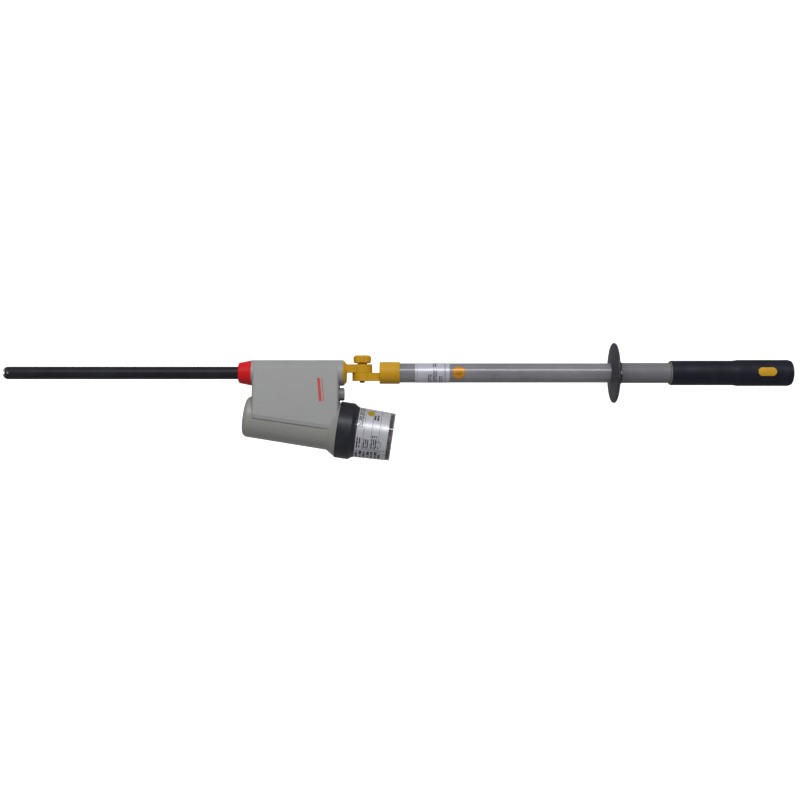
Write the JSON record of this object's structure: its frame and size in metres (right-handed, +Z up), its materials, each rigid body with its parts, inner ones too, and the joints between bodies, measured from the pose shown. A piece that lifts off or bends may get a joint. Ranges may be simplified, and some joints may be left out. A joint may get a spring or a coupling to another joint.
{
  "type": "voltage detector",
  "caption": "Contact voltage detector on an insulating stick: prod with electrode, slanted indicator case, swivel clamp, hand guard and grip.",
  "frame": {"origin": "on the stick's axis, in the middle of the rear grip", "axes": "+X along the stick from the contact electrode towards the end cap, +Z up on the clamp knob's side"},
  "size_m": [1.2184, 0.093, 0.1822],
  "materials": {
    "housing_grey": "satin",
    "black_plastic": "satin",
    "black_rubber": "matte",
    "signal_red": "satin",
    "ochre_yellow": "satin",
    "knob_yellow": "satin",
    "tube_grey": "satin",
    "pale_plastic": "satin",
    "button_grey": "satin",
    "clear_plastic": "clear",
    "label_silver": "printed film",
    "sticker_orange": "printed film",
    "bronze": "worn",
    "steel": "brushed",
    "brass": "machined",
    "ceramic": "matte",
    "board_green": "solder mask",
    "chip_black": "matte",
    "battery_shell": "painted",
    "lamp_red": "clear tint",
    "diffuser_white": "frosted",
    "foam": "foam"
  },
  "bodies": {
    "stick": {"lower_lug": "ochre_yellow", "friction_disc": "black_rubber", "clamp_stud": "steel", "insulating_tube": "tube_grey", "tube_plug": "black_plastic", "sleeve_pin": "steel", "foam_core": "foam", "tube_label": "label_silver", "tube_sticker": "sticker_orange", "hand_guard": "black_rubber", "guard_hub": "black_plastic", "guard_screws": "steel", "handle_sleeve": "tube_grey", "front_ring": "pale_plastic", "handle_core": "black_plastic", "front_grip": "black_rubber", "rear_shell": "black_rubber", "button_guide": "black_plastic", "release_spring": "steel", "cap_seal": "black_rubber", "end_cap": "black_plastic", "cap_screw": "steel"},
    "head": {"contact_electrode": "bronze", "electrode_pin": "steel", "prod_tube": "black_plastic", "lead_rods": "brass", "series_resistor": "ceramic", "resistor_caps": "brass", "resistor_spacers": "diffuser_white", "red_collar": "signal_red", "nose_seal": "black_rubber", "detector_housing": "housing_grey", "chassis": "black_plastic", "circuit_board": "board_green", "board_standoffs": "black_plastic", "board_chips": "chip_black", "board_capacitors": "chip_black", "battery": "battery_shell", "battery_tray": "black_plastic", "battery_contacts": "steel", "indicator_board": "board_green", "indicator_lamps": "lamp_red", "buzzer": "chip_black", "inner_hood": "black_plastic", "light_diffuser": "diffuser_white", "case_gasket": "black_rubber", "test_button_spring": "steel", "test_switch": "chip_black", "switch_bracket": "pale_plastic", "upper_lug": "ochre_yellow", "flange_pin": "steel"},
    "cup": {"indicator_cup": "clear_plastic", "cup_label": "label_silver"},
    "union": {"union_ring": "black_plastic"},
    "washer": {"clamp_washer": "knob_yellow"},
    "knob": {"clamp_knob": "knob_yellow", "knob_insert": "brass"},
    "test_button": {"test_button": "button_grey"},
    "release_button": {"release_button": "knob_yellow"}
  },
  "joints": [
    {"name": "head_swivel", "type": "hinge", "parent": "stick", "child": "head", "pos_m": [-0.62, 0, 0], "axis": [0, 0, 1], "range_deg": [-90, 90]},
    {"name": "union_travel", "type": "slide", "parent": "head", "child": "cup", "axis": [0.9898, 0, -0.1426], "range_m": [0, 0.012]},
    {"name": "union_turn", "type": "hinge", "parent": "cup", "child": "union", "pos_m": [-0.7995, 0, -0.067], "axis": [0.9898, 0, -0.1426], "range_deg": [0, 1440]},
    {"name": "washer_travel", "type": "slide", "parent": "stick", "child": "washer", "axis": [0, 0, 1], "range_m": [0, 0.003]},
    {"name": "knob_turn", "type": "hinge", "parent": "washer", "child": "knob", "pos_m": [-0.62, 0, 0], "axis": [0, 0, 1], "range_deg": [0, 720]},
    {"name": "test_press", "type": "slide", "parent": "head", "child": "test_button", "axis": [-1, 0, 0], "range_m": [0, 0.0025], "stiffness_N_per_m": 400, "springref_m": -0.002, "deforming": ["test_button_spring"]},
    {"name": "release_press", "type": "slide", "parent": "stick", "child": "release_button", "axis": [0, 0.9962, -0.0872], "range_m": [0, 0.0025], "stiffness_N_per_m": 500, "springref_m": -0.002, "deforming": ["release_spring"]}
  ],
  "couplings": [
    {"joint": "union_travel", "follows": "union_turn", "m_per_rad": 0.00047746},
    {"joint": "washer_travel", "follows": "knob_turn", "m_per_rad": 0.00023873}
  ]
}
